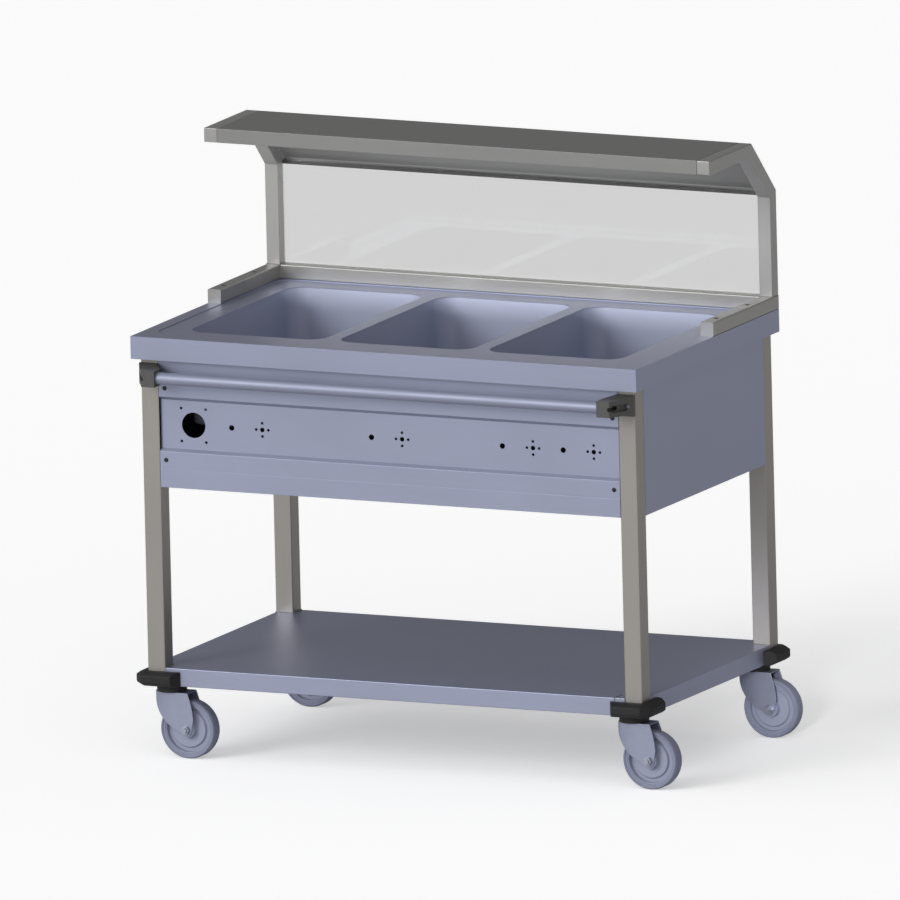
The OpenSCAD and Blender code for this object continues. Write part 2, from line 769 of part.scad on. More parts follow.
module handle_bracket(side) {
    foot_x0 = leg_side;
    foot_x1 = leg_side + leg_s;
    head_x1 = head_in + head_l;
    web_in = head_front + head_l;
    web_a = atan2(web_y - head_front, head_in - foot_x0);
    color(dark_colour) in_frame() on_side(side) difference() {
        intersection() {
            translate([0, 0, grip_h - foot_h]) linear_extrude(2 * foot_h) polygon([
                [foot_x0, leg_front], [foot_x1, leg_front], [foot_x1, web_y],
                [head_x1, web_in], [head_x1, head_front], [head_in, head_front], [foot_x0, web_y]]);
            rotate([90, 0, 90]) linear_extrude(2 * head_x1) polygon([
                [leg_front, grip_h - foot_h / 2], [leg_front, grip_h + foot_h / 2],
                [web_y, grip_h + foot_h / 2], [web_in, grip_h + head_h / 2],
                [head_front, grip_h + head_h / 2], [head_front, grip_h - head_h / 2],
                [web_in, grip_h - head_h / 2], [web_y, grip_h - foot_h / 2]]);
        }
        translate([head_x1 - socket_l, grip_y, grip_h]) rotate([0, 90, 0])
            cylinder(r = grip_dia / 2, h = socket_l + over);
        translate([head_in, head_front, grip_h - window_h / 2]) rotate([0, 0, 180 - web_a])
            translate([window_d, -window_d, 0]) cube([leg_s, 2 * window_d, window_h]);
        handle_screw_places() {
            translate([0, 0, -leg_s - foot_t]) cylinder(r = bolt_r + snug / 2, h = 2 * leg_s + foot_t);
            translate([0, 0, -foot_t - 2 * leg_s]) cylinder(r = bolt_head_r + snug, h = 2 * leg_s);
        }
    }
}

// Two bolts through each bracket's foot into the leg, side by side
module handle_screw_places() {
    for (x = [leg_s / 4, 3 * leg_s / 4])
        translate([leg_side + x, leg_front, grip_h]) rotate([-90, 0, 0]) children();
}

module handle_screws() {
    color(zinc_colour) in_frame() for (side = [LEFT, RIGHT]) on_side(side) handle_screw_places() {
        translate([0, 0, -foot_t]) cylinder(r = bolt_r, h = foot_t + leg_t);
        translate([0, 0, -foot_t - bolt_head_h]) cylinder(r = bolt_head_r, h = bolt_head_h);
    }
}

// SERVING RAIL AND HOOD
module rail_bolt_places() {
    for (x = [tube_s / 2, top_l - tube_s / 2], y = [bolt_y1, bolt_y2])
        translate([x, rail_y + y, top_h]) children();
}

module base_rail(side) {
    color(tube_colour) in_frame() difference() {
        on_side(side) translate([0, rail_y, top_h]) {
            tube_y(tube_s, tube_t, leg_r, arm_l);
            for (y = [0, arm_l - tube_t]) translate([tube_t / 2, y, tube_t / 2])
                cube([tube_s - tube_t, tube_t, tube_s - tube_t]);
        }
        rail_bolt_places() {
            cylinder(r = bolt_r + snug, h = tube_s, center = true);
            translate([0, 0, tube_s / 2]) cylinder(r = access_r, h = tube_s);
        }
    }
}

module rail_bolts() {
    shank_l = sheet_t + tube_t + bolt_head_h + over;
    color(zinc_colour) in_frame() rail_bolt_places() {
        translate([0, 0, tube_t]) cylinder(r = bolt_head_r, h = bolt_head_h, $fn = 6);
        translate([0, 0, tube_t - shank_l]) cylinder(r = bolt_r, h = shank_l);
        translate([0, 0, -sheet_t - bolt_head_h]) cylinder(r = bolt_head_r, h = bolt_head_h, $fn = 6);
    }
}

module cross_rail() {
    color(tube_colour) in_frame() translate([tube_s, post_y, top_h])
        tube_x(tube_s, tube_t, leg_r, top_l - 2 * tube_s);
}

// One line of the post's side, d inside its outer side: up the post, along the slope and the arm
function post_line(d, low, front) = [
    [top_d - d, low],
    [top_d - d, bend_z - d * tan((90 - slope) / 2)],
    [bend_y - d * tan(slope / 2), total_h - d],
    [front, total_h - d]];

function turned(list) = [for (k = [len(list) - 1:-1:0]) list[k]];

// Post, slope and arm of square tube, mitred and welded, with a closed front end
module hood_post(side) {
    front = rail_y + tube_t;
    low = rail_top - over;
    color(tube_colour) in_frame() on_side(side) rotate([90, 0, 90]) difference() {
        linear_extrude(tube_s)
            polygon(concat(post_line(0, rail_top, rail_y), turned(post_line(tube_s, rail_top, rail_y))));
        translate([0, 0, tube_t]) linear_extrude(tube_s - 2 * tube_t)
            polygon(concat(post_line(tube_t, low, front), turned(post_line(tube_s - tube_t, low, front))));
    }
}

// Hood: one folded sheet, from the front lip over the top and down the slope
function hood_line(d) = [
    [rail_y + fold_w, total_h - hood_lip + d],
    [rail_y + d, total_h - hood_lip + d],
    [rail_y + d, total_h - d],
    [bend_y - d * tan(slope / 2), total_h - d],
    [top_d - d, bend_z - d * tan((90 - slope) / 2)],
    [top_d - d, bend_z - tab_h]];

module hood() {
    color(tube_colour) in_frame() translate([tube_s, 0, 0]) rotate([90, 0, 90])
        linear_extrude(top_l - 2 * tube_s) polygon(concat(hood_line(0), turned(hood_line(panel_t))));
}

module glass_pane() {
    color(glass_colour, 0.6) in_frame() translate([tube_s + snug, top_d - panel_t - snug - glass_t, rail_top])
        cube([top_l - 2 * tube_s - 2 * snug, glass_t, bend_z - rail_top - glass_t]);
}

// CASTORS
module at_leg(side, place) {
    x = side == LEFT ? leg_xl + leg_s / 2 : leg_xr + leg_s / 2;
    y = place == FRONT ? leg_yf + leg_s / 2 : leg_yr + leg_s / 2;
    in_frame() translate([x, y, 0]) children();
}

module at_castor(side, place) {
    x = side == LEFT ? inboard : -inboard;
    y = place == FRONT ? inboard : -inboard;
    at_leg(side, place) translate([x, y, 0]) children();
}

// Head: square plug in the leg, black cover inboard of it and the swivel pin with its riveted end
module castor_head(side, place) {
    plug_s = leg_s - 2 * leg_t - snug;
    plug_h = leg_s;
    color(dark_colour) at_leg(side, place) translate([-plug_s / 2, -plug_s / 2, castor_h])
        linear_extrude(plug_h) rounded_rect(plug_s, plug_s, leg_r);
    color(dark_colour) at_castor(side, place) {
        translate([0, 0, swivel_zl]) rotate_extrude() polygon([
            [0, 0], [head_dia / 2 - snug, 0], [head_dia / 2, snug],
            [head_dia / 2, cover_h * brim_share], [head_dia / 2 * neck_share, cover_h], [0, cover_h]]);
        translate([0, 0, plate_z - snug - pin_head_h / 2])
            cylinder(r = pin_r, h = swivel_zl - plate_z + snug + pin_head_h / 2);
        translate([0, 0, plate_z - snug - pin_head_h]) cylinder(r = pin_head_r, h = pin_head_h);
    }
}

// Plan of the fork, as points: straight cheeks that run into a rounded nose
function arc(c, r, from, to, n) = [
    for (k = [0:n]) let (a = from + (to - from) * k / n) c + r * [cos(a), sin(a)]];

function fork_plan(half, nose, end_r, tail) =
    let (
        r = (pow(nose - end_r, 2) + half * half - end_r * end_r) / (2 * (half - end_r)),
        meet = acos((nose - end_r) / (r - end_r)),
        nose_step = 2 * meet / nose_n)
    concat(
        [[tail, half]],
        arc([flank_x, half - r], r, 90, 180 - meet, flank_n),
        arc([flank_x - nose + end_r, 0], end_r, 180 - meet + nose_step, 180 + meet - nose_step, nose_n - 2),
        arc([flank_x, r - half], r, 180 + meet, 270, flank_n),
        [[tail, -half]]);

// Side of the fork, as points: curved leading edge, boss round the axle, straight-sided trailing edge
function fork_side() =
    let (low = acos((lead_x_share - lead_low_share) * trail / lead_r))
    concat(
        [for (p = tail_shares) [p[0] * trail, axle_z + p[1] * drop]],
        arc([trail, axle_z], boss_share * drop, 0, -boss_turn, boss_n),
        arc([lead_x_share * trail, plate_top], lead_r, 180 + low, 180, lead_n));

module castor_fork(side, place) {
    reach = 2 * fork_w;
    color(zinc_colour) at_castor(side, place) difference() {
        intersection() {
            linear_extrude(castor_h) polygon(fork_plan(fork_half, nose_reach + flank_x, nose_r, reach));
            rotate([90, 0, 0]) linear_extrude(reach, center = true) polygon(fork_side());
        }
        translate([0, 0, -over]) linear_extrude(plate_z + over)
            polygon(fork_plan(fork_inner, nose_reach + flank_x - fork_t, nose_r - fork_t, 2 * reach));
        cylinder(r = pin_r + run_gap, h = castor_h + over);
        translate([trail, 0, axle_z]) rotate([90, 0, 0])
            cylinder(r = axle_dia / 2 + run_gap, h = reach, center = true);
    }
}

module at_axle(side, place) {
    at_castor(side, place) translate([trail, 0, axle_z]) rotate([90, 0, 0]) children();
}

// Axle bolt, with its head on the rear cheek and its nut on the front cheek
module castor_axle(side, place) {
    end_l = nut_h / 2;
    nut_r = nut_af / sqrt(3);
    color(zinc_colour) at_axle(side, place) {
        translate([0, 0, -fork_half]) cylinder(r = axle_dia / 2, h = fork_w + nut_h + end_l);
        translate([0, 0, -fork_half - nut_h]) cylinder(r = nut_r, h = nut_h, $fn = 6);
        translate([0, 0, fork_half]) cylinder(r = nut_r, h = nut_h, $fn = 6);
    }
}

// Wheel centre, with a long hub, turned about the axle
module wheel(side, place) {
    bore_r = axle_dia / 2 + run_gap;
    near = [for (p = disc_shares) disc_point(p, 1)];
    far = [for (p = disc_shares) disc_point(p, -1)];
    color(zinc_colour) at_axle(side, place) rotate_extrude()
        polygon(concat([[bore_r, -hub_half], [bore_r, hub_half]], near, turned(far)));
}

function disc_point(p, way) = [
    p[0] * wheel_dia / 2,
    way * (p[1] == 1 ? hub_half : p[1] * tyre_w / 2)];

// Tyre, bonded round the wheel centre
module tyre(side, place) {
    near = [for (p = tread_shares) [p[0] * wheel_dia / 2, p[1] * tyre_w / 2]];
    far = [for (p = tread_shares) [p[0] * wheel_dia / 2, -p[1] * tyre_w / 2]];
    color(tyre_colour) at_axle(side, place) rotate_extrude() polygon(concat(near, turned(far)));
}

worktop();
well(0);  // well_left
well(1);  // well_centre
well(2);  // well_right
heater(0);  // heater_left
heater(1);  // heater_centre
heater(2);  // heater_right
drain_manifold();
drain_valve();
drain_lever();
front_panel();
panel_screws();
side_panel(LEFT);  // side_panel_left
side_panel(RIGHT);  // side_panel_right
back_panel();
body_floor();
leg(LEFT, FRONT);  // leg_front_left
leg(RIGHT, FRONT);  // leg_front_right
leg(LEFT, REAR);  // leg_rear_left
leg(RIGHT, REAR);  // leg_rear_right
top_frame();
shelf();
shelf_stiffener();
bumper(LEFT, FRONT);  // bumper_front_left
bumper(RIGHT, FRONT);  // bumper_front_right
bumper(LEFT, REAR);  // bumper_rear_left
bumper(RIGHT, REAR);  // bumper_rear_right
handle_tube();
handle_bracket(LEFT);  // handle_bracket_left
handle_bracket(RIGHT);  // handle_bracket_right
handle_screws();
base_rail(LEFT);  // base_rail_left
base_rail(RIGHT);  // base_rail_right
cross_rail();
hood_post(LEFT);  // hood_post_left
hood_post(RIGHT);  // hood_post_right
hood();
glass_pane();
rail_bolts();
castor_head(LEFT, FRONT);  // castor_head_front_left
castor_fork(LEFT, FRONT);  // castor_fork_front_left
castor_axle(LEFT, FRONT);  // castor_axle_front_left
wheel(LEFT, FRONT);  // wheel_front_left
tyre(LEFT, FRONT);  // tyre_front_left
castor_head(RIGHT, FRONT);  // castor_head_front_right
castor_fork(RIGHT, FRONT);  // castor_fork_front_right
castor_axle(RIGHT, FRONT);  // castor_axle_front_right
wheel(RIGHT, FRONT);  // wheel_front_right
tyre(RIGHT, FRONT);  // tyre_front_right
castor_head(LEFT, REAR);  // castor_head_rear_left
castor_fork(LEFT, REAR);  // castor_fork_rear_left
castor_axle(LEFT, REAR);  // castor_axle_rear_left
wheel(LEFT, REAR);  // wheel_rear_left
tyre(LEFT, REAR);  // tyre_rear_left
castor_head(RIGHT, REAR);  // castor_head_rear_right
castor_fork(RIGHT, REAR);  // castor_fork_rear_right
castor_axle(RIGHT, REAR);  // castor_axle_rear_right
wheel(RIGHT, REAR);  // wheel_rear_right
tyre(RIGHT, REAR);  // tyre_rear_right
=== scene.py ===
"""Bain marie trolley: finishes and small metalwork of a hot food trolley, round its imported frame.

The frame gives every solid its place, in metres: X along the trolley, Y from the control panel to the
glass, Z up. Here the folded sheet gets its bend radii, the shelf and the hood their weld beads, the panel
screws their drives, the castor axles their threads, and each piece a finish.
"""

import logging
import math
from dataclasses import dataclass, field
from enum import Enum

import bmesh
import bpy
from mathutils import Matrix, Vector


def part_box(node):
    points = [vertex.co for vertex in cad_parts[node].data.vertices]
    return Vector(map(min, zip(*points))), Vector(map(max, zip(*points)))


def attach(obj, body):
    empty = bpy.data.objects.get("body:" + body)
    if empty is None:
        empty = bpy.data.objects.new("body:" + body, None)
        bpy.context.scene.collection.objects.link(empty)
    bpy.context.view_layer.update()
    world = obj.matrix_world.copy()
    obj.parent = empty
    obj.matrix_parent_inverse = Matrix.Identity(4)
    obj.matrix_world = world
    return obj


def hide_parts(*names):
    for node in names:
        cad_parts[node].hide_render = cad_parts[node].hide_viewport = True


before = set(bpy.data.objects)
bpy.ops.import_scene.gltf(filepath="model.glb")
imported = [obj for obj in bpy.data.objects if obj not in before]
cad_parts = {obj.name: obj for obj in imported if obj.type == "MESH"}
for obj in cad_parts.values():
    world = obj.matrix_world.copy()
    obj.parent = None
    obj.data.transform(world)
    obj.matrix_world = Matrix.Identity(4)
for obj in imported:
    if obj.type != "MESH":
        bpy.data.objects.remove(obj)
LOG = logging.getLogger("trolley")
MM = 0.001

# How many finer layers each noise has: a surface's fine texture, its patches and its brushed lines
FINE_DETAIL = 3.0
PATCH_DETAIL = 2.0
BRUSH_DETAIL = 4.0
# The middle part of a noise's range, which nearly all of its values lie in
NOISE_LOW = 0.3
NOISE_HIGH = 0.7
# How far the roughness wanders round its mean, as a share
ROUGH_SPREAD = 0.1
# Glass under its coating bends light less than bare glass
COATED_IOR = 1.25


def linear(hex_colour: str) -> tuple[float, float, float, float]:
    """Turns an sRGB hex colour into linear red, green, blue and an alpha of 1.

    Args:
        hex_colour: A colour such as "#9A9EB4".

    Returns:
        The four values that a colour socket takes.
    """
    parts = [int(hex_colour[i:i + 2], 16) / 255 for i in (1, 3, 5)]
    return (*[p / 12.92 if p <= 0.04045 else ((p + 0.055) / 1.055) ** 2.4 for p in parts], 1.0)


def add(tree: bpy.types.NodeTree, kind: str, links: dict | None = None, **settings: object) -> bpy.types.Node:
    """Adds a node with its settings, its input values and the links into it.

    Args:
        tree: The tree that gets the node.
        kind: The node's type name.
        links: Input name or number, to the output that feeds it or the value that it holds.
        **settings: The node's own properties.

    Returns:
        The new node.
    """
    node = tree.nodes.new(kind)
    for name, value in settings.items():
        setattr(node, name, value)
    for key, value in (links or {}).items():
        socket = node.inputs[key]
        if isinstance(value, bpy.types.NodeSocket):
            tree.links.new(value, socket)
        else:
            socket.default_value = value
    return node


class Grain(Enum):
    """The way that the brushed lines of a metal run."""

    ALONG_X = 0
    ALONG_Y = 1
    ALONG_Z = 2


@dataclass(frozen=True)
class Finish:
    """A surface as its maker would order it: colour, gloss and a fine unevenness.

    Attributes:
        name: The real material's name.
        colour: Its colour in sRGB hex.
        metallic: 1 for bare metal, 0 for anything else.
        roughness: Mean roughness.
        uneven: How far the colour wanders, as a share.
        patch: Size of the wandering patches, in metres.
        pit: Size of the fine texture, in metres.
        relief: Height of the fine texture, in metres.
        shine: Strength of the clear reflection on what isn't metal, 0.5 for a common plastic.
    """

    name: str
    colour: str
    metallic: float = 0.0
    roughness: float = 0.5
    uneven: float = 0.05
    patch: float = 0.06
    pit: float = 0.002
    relief: float = 0.00005
    shine: float = 0.5

    def pattern(self, tree: bpy.types.NodeTree, where: bpy.types.NodeSocket) -> bpy.types.NodeSocket:
        """Adds the fine texture.

        Args:
            tree: The material's tree.
            where: Object coordinates.

        Returns:
            The texture's value, from 0 to 1.
        """
        return add(tree, "ShaderNodeTexNoise", {
            "Vector": where, "Scale": 1 / self.pit, "Detail": FINE_DETAIL}).outputs[0]

    def extra(self, shader: bpy.types.Node) -> None:
        """Sets what only this finish has on the shader."""

    def make(self) -> bpy.types.Material:
        """Makes the material, or gives the one that was made before.

        Returns:
            The material.
        """
        ready = bpy.data.materials.get(self.name)
        if ready:
            return ready
        material = bpy.data.materials.new(self.name)
        material.use_nodes = True
        tree = material.node_tree
        tree.nodes.clear()
        where = add(tree, "ShaderNodeTexCoord").outputs["Object"]
        fine = self.pattern(tree, where)
        broad = add(tree, "ShaderNodeTexNoise", {
            "Vector": where, "Scale": 1 / self.patch, "Detail": PATCH_DETAIL}).outputs[0]
        both = add(tree, "ShaderNodeMix", {0: 0.5, 2: fine, 3: broad}).outputs[0]
        base = linear(self.colour)
        dark, light = [
            (*[min(1.0, c * (1 + way * self.uneven)) for c in base[:3]], 1.0) for way in (-1, 1)]
        tint = add(tree, "ShaderNodeMix", {0: both, 6: dark, 7: light}, data_type="RGBA").outputs[2]
        rough = add(tree, "ShaderNodeMapRange", {
            "Value": both, "From Min": NOISE_LOW, "From Max": NOISE_HIGH,
            "To Min": self.roughness * (1 - ROUGH_SPREAD),
            "To Max": min(1.0, self.roughness * (1 + ROUGH_SPREAD))}).outputs[0]
        bump = add(tree, "ShaderNodeBump", {
            "Height": fine, "Distance": self.relief, "Strength": 1.0}).outputs[0]
        shader = add(tree, "ShaderNodeBsdfPrincipled", {
            "Base Color": tint, "Metallic": self.metallic, "Roughness": rough, "Normal": bump,
            "Specular IOR Level": self.shine})
        self.extra(shader)
        add(tree, "ShaderNodeOutputMaterial", {"Surface": shader.outputs[0]})
        return material


@dataclass(frozen=True)
class BrushedSteel(Finish):
    """Stainless steel drawn over an abrasive belt, so its fine lines all run one way.

    Attributes:
        grain: The way the lines run.
        line: Width of a line. A belt leaves 0.2 mm, which is too fine to show, so it is drawn coarser.
        run: Length of a line.
    """

    grain: Grain = Grain.ALONG_X
    line: float = 0.0018
    run: float = 0.16

    def pattern(self, tree: bpy.types.NodeTree, where: bpy.types.NodeSocket) -> bpy.types.NodeSocket:
        """Adds the brushed lines, as noise that is drawn out along the grain."""
        scale = [1 / self.line] * 3
        scale[self.grain.value] = 1 / self.run
        drawn = add(tree, "ShaderNodeMapping", {"Vector": where, "Scale": scale}).outputs[0]
        return add(tree, "ShaderNodeTexNoise", {
            "Vector": drawn, "Scale": 1.0, "Detail": BRUSH_DETAIL}).outputs[0]


@dataclass(frozen=True)
class ClearGlass(Finish):
    """Toughened glass, smooth and tinted a light grey, with a coating that dulls its reflections."""

    def extra(self, shader: bpy.types.Node) -> None:
        """Lets light through, bent less than by bare glass, as under a coating."""
        shader.inputs["Transmission Weight"].default_value = 1.0
        shader.inputs["IOR"].default_value = COATED_IOR


# Grade 304 sheet, belt-brushed along the trolley: a cool grey with soft long highlights
SHEET = BrushedSteel("brushed_stainless_sheet", "#989DB3", 0.75, 0.42, 0.06, 0.25)
# The same sheet on the body's ends, brushed from front to rear
SHEET_ACROSS = BrushedSteel("brushed_stainless_ends", "#989DB3", 0.75, 0.42, 0.06, 0.25, grain=Grain.ALONG_Y)
# Deep-drawn tubs, brushed upright on their walls: the sheet's steel painted lighter and less metallic, as
# painted light that lifts the shade inside the wells
TUB_PAINTED_LIGHT = BrushedSteel("drawn_stainless_tub_painted_light", "#A3A8BC", 0.35, 0.5, 0.06, 0.12, grain=Grain.ALONG_Z, run=0.09)
# Welded square tube, ground along its length: warmer than the sheet
LEG = BrushedSteel("ground_stainless_leg", "#9A9691", 0.75, 0.40, 0.06, 0.2, grain=Grain.ALONG_Z)
POST = BrushedSteel("ground_stainless_post", "#A1A09F", 0.75, 0.40, 0.06, 0.2, grain=Grain.ALONG_Z)
RAIL_X = BrushedSteel("ground_stainless_rail_x", "#9B9A98", 0.75, 0.40, 0.06, 0.2)
RAIL_Y = BrushedSteel("ground_stainless_rail_y", "#9B9A98", 0.75, 0.40, 0.06, 0.2, grain=Grain.ALONG_Y)
# Folded hood: the posts' steel, painted darker as painted shade for the hood's dark top
HOOD_PAINTED_SHADE = BrushedSteel("stainless_hood_painted_shade", "#8B8B8A", 0.75, 0.42, 0.06, 0.25)
# Handle tube, satin along its length
GRIP = BrushedSteel("satin_stainless_grip", "#9094A8", 0.6, 0.55, 0.04, 0.1)
# Zinc plate, blue passivated: a cool grey with a cloudy bloom
ZINC = Finish("blue_zinc_plate", "#969BB0", 0.7, 0.42, 0.10, 0.012, 0.0015, 0.00003)
# A2 fasteners, turned and slightly dull
BRIGHT = Finish("bright_stainless_fastener", "#A2A5B2", 0.9, 0.42, 0.04, 0.01, 0.001, 0.00001)
# Panel screws, hardened steel with a black oxide skin
BLACKENED = Finish("black_oxide_screw", "#3A3B40", 0.7, 0.40, 0.10, 0.004, 0.001, 0.00001)
# Weld beads, straw to grey where the heat was
WELD = Finish("tig_weld_bead", "#8C8A86", 0.85, 0.38, 0.14, 0.004, 0.001, 0.00004)
# Polypropylene wheel centre, injection moulded, satin
CENTRE = Finish("grey_polypropylene", "#8F93A8", 0.0, 0.45, 0.05, 0.03, 0.0008, 0.00003)
# Thermoplastic rubber tread, non-marking grey, dull
TREAD = Finish("grey_thermoplastic_rubber", "#7F8398", 0.0, 0.75, 0.08, 0.02, 0.0012, 0.00006)
# Glass-filled polyamide, moulded with a spark-eroded grain
NYLON = Finish("black_polyamide", "#1A1A1A", 0.0, 0.5, 0.12, 0.02, 0.0012, 0.00008, 0.3)
# The handle's brackets: the same polyamide in a dark grey
BRACKET = Finish("grey_polyamide_bracket", "#4C4C4B", 0.0, 0.5, 0.10, 0.02, 0.0012, 0.00008, 0.4)
# Black thermoplastic bumper: duller, and scuffed lighter in patches
BUMPER = Finish("black_bumper_rubber", "#202020", 0.0, 0.62, 0.2, 0.015, 0.0014, 0.0001, 0.3)
GLASS = ClearGlass("toughened_glass", "#D6D6D6", 0.0, 0.02, 0.0, 0.2, 0.01, 0.0)
# Sheathed element, annealed: brown oxide with straw patches
SHEATH = Finish("oxidised_heater_sheath", "#7A5A48", 0.8, 0.5, 0.25, 0.02, 0.002, 0.00003)
# Forged brass with a machined skin
BRASS = Finish("forged_brass", "#B8A46A", 1.0, 0.35, 0.1, 0.01, 0.0012, 0.00004)
# Steel lever dipped in red vinyl paint
LEVER = Finish("red_dipped_lever", "#A03028", 0.0, 0.35, 0.06, 0.01, 0.002, 0.00002)


def mesh_piece(name: str, mesh: bpy.types.Mesh) -> bpy.types.Object:
    """Puts a mesh in the scene as an object at the origin.

    Args:
        name: The piece's name.
        mesh: Its mesh, in the trolley's frame.

    Returns:
        The new object.
    """
    piece = bpy.data.objects.new(name, mesh)
    bpy.context.scene.collection.objects.link(piece)
    return piece


def flattened(piece: bpy.types.Object, name: str) -> bpy.types.Object:
    """Turns an object with modifiers into a plain mesh of that name, and removes the first one.

    Args:
        piece: The object with live modifiers.
        name: The plain piece's name.

    Returns:
        The plain piece.
    """
    bpy.context.view_layer.update()
    seen = piece.evaluated_get(bpy.context.evaluated_depsgraph_get())
    mesh = bpy.data.meshes.new_from_object(seen, depsgraph=bpy.context.evaluated_depsgraph_get())
    old = piece.data
    bpy.data.objects.remove(piece)
    bpy.data.meshes.remove(old)
    mesh.name = name
    return mesh_piece(name, mesh)


def dressed(piece: bpy.types.Object, finish: Finish) -> bpy.types.Object:
    """Gives a whole piece one finish.

    Args:
        piece: The piece.
        finish: Its finish.

    Returns:
        The same piece.
    """
    piece.data.materials.clear()
    piece.data.materials.append(finish.make())
    return piece


def settled(piece: bpy.types.Object, body: str) -> bpy.types.Object:
    """Makes a piece ride on its body.

    Args:
        piece: The finished piece.
        body: The body that carries it.

    Returns:
        The same piece.
    """
    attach(piece, body)
    LOG.info("%s rides on %s", piece.name, body)
    return piece


# How much of the narrowest face beside an edge its radius may take
EDGE_SHARE = 0.38
# The largest angle between faces that are merged into one, and the smallest at an edge that is rounded
FLAT_ANGLE = math.radians(1.0)
SHARP_ANGLE = math.radians(24.0)
# Corners closer than this are one, and no edge is taken as shorter than this
MERGE_WITHIN = 0.00002
SHORTEST_EDGE = 1e-6
# Facets across a rounded edge, and how strongly broad faces lead its shading, in percent of the full range
ROUND_FACETS = 3
BROAD_FACE_WEIGHT = 100


def eased(node: str, name: str, radius: float, finish: Finish, body: str = "chassis") -> bpy.types.Object:
    """Copies a node's solid and rounds its sharp edges, as bending or moulding leaves them.

    A narrow face, such as the cut edge of a sheet, gets a smaller radius than a fold.

    Args:
        node: The node of the frame that the copy replaces.
        name: The piece's name.
        radius: The largest radius, in metres.
        finish: The piece's finish.
        body: The body that carries it.

    Returns:
        The new piece.
    """
    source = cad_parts[node]
    work = bmesh.new()
    work.from_mesh(source.data)
    bmesh.ops.remove_doubles(work, verts=work.verts, dist=MERGE_WITHIN)
    bmesh.ops.dissolve_limit(work, angle_limit=FLAT_ANGLE, verts=work.verts, edges=work.edges)
    weights = work.edges.layers.float.new("bevel_weight_edge")
    for edge in work.edges:
        if len(edge.link_faces) != 2 or edge.calc_face_angle(0.0) < SHARP_ANGLE:
            continue
        room = min(face.calc_area() for face in edge.link_faces) / max(edge.calc_length(), SHORTEST_EDGE)
        edge[weights] = min(1.0, EDGE_SHARE * room / radius)
    mesh = bpy.data.meshes.new(name)
    work.to_mesh(mesh)
    work.free()
    mesh.materials.clear()
    mesh.shade_smooth()
    piece = mesh_piece(name, mesh)
    bevel = piece.modifiers.new("edges", "BEVEL")
    bevel.limit_method = "WEIGHT"
    bevel.width = radius
    bevel.segments = ROUND_FACETS
    bevel.use_clamp_overlap = True
    even = piece.modifiers.new("normals", "WEIGHTED_NORMAL")
    even.keep_sharp = True
    even.weight = BROAD_FACE_WEIGHT
    piece = flattened(piece, name)
    dressed(piece, finish)
    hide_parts(node)
    return settled(piece, body)


def finished(node: str, finish: Finish) -> None:
    """Gives a node of the frame its finish and leaves its shape alone.

    Args:
        node: The node.
        finish: Its finish.
    """
    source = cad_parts[node]
    while len(source.material_slots) < 1:
        source.data.materials.append(None)
    for place in source.material_slots:
        place.material = finish.make()
    LOG.info("%s keeps its solid", node)


class Sizes:
    """A node tree with named inputs, run on an object and turned into a plain mesh."""

    def __init__(self, name: str, inputs: dict[str, str]) -> None:
        """Starts the tree.

        Args:
            name: The tree's name.
            inputs: Input name to socket type.
        """
        self.tree = bpy.data.node_groups.new(name, "GeometryNodeTree")
        face = self.tree.interface
        face.new_socket("Geometry", in_out="INPUT", socket_type="NodeSocketGeometry")
        for label, kind in inputs.items():
            face.new_socket(label, in_out="INPUT", socket_type=kind)
        face.new_socket("Geometry", in_out="OUTPUT", socket_type="NodeSocketGeometry")
        self.given = add(self.tree, "NodeGroupInput").outputs

    def node(self, kind: str, links: dict | None = None, **settings: object) -> bpy.types.NodeOutputs:
        """Adds a node and gives its outputs."""
        return add(self.tree, kind, links, **settings).outputs

    def on_points(self, piece: bpy.types.NodeSocket) -> bpy.types.NodeSocket:
        """Stands a piece on each given point, with its Z along the point's facing.

        Args:
            piece: What stands on the points.

        Returns:
            The instances.
        """
        points = self.node("GeometryNodeMeshToPoints", {"Mesh": self.given["Geometry"]})[0]
        facing = self.node(
            "GeometryNodeInputNamedAttribute", {"Name": "facing"}, data_type="FLOAT_VECTOR")[0]
        turn = self.node("FunctionNodeAlignRotationToVector", {"Vector": facing}, axis="Z")[0]
        return self.node("GeometryNodeInstanceOnPoints", {
            "Points": points, "Instance": piece, "Rotation": turn})[0]

    def close(self, geometry: bpy.types.NodeSocket) -> None:
        """Ends the tree in real geometry with its material.

        Args:
            geometry: What the tree made.
        """
        real = self.node("GeometryNodeRealizeInstances", {"Geometry": geometry})[0]
        painted = self.node("GeometryNodeSetMaterial", {
            "Geometry": real, "Material": self.given["Material"]})[0]
        add(self.tree, "NodeGroupOutput", {0: painted})

    def run(self, name: str, mesh: bpy.types.Mesh, values: dict[str, object]) -> bpy.types.Object:
        """Runs the tree on a mesh.

        Args:
            name: The piece's name.
            mesh: Points or paths that the tree works on.
            values: Input name to value.

        Returns:
            The plain piece.
        """
        piece = mesh_piece(name + ".guide", mesh)
        modifier = piece.modifiers.new("sizes", "NODES")
        modifier.node_group = self.tree
        for item in self.tree.interface.items_tree:
            if item.in_out == "INPUT" and item.name in values:
                modifier[item.identifier] = values[item.name]
        piece = flattened(piece, name)
        piece.data.materials.clear()
        piece.data.materials.append(values["Material"])
        piece.data.polygons.foreach_set("material_index", [0] * len(piece.data.polygons))
        return piece


FLOAT = "NodeSocketFloat"
MATERIAL = "NodeSocketMaterial"

# A weld's drop: its facets, and its length and width as shares of the bead's half width
DROP_SEGMENTS = 8
DROP_RINGS = 5
DROP_SHAPE = (1.3, 0.8, 0.8)
# A bead of a thin sheet: one drop per 1.4 mm, 3 mm wide
BEAD_PITCH = 1.4 * MM
BEAD_HALF = 1.5 * MM
# A screw's head: its sides, and shares of its height or radius
HEAD_SIDES = 28
WASHER_SIDES = 24
CROWN_SHARE = 0.3
WALL_SHARE = 0.7
CROWN_TOP_SHARE = 0.8
CROSS_LONG_SHARE = 1.05
CROSS_SLIM_SHARE = 0.26
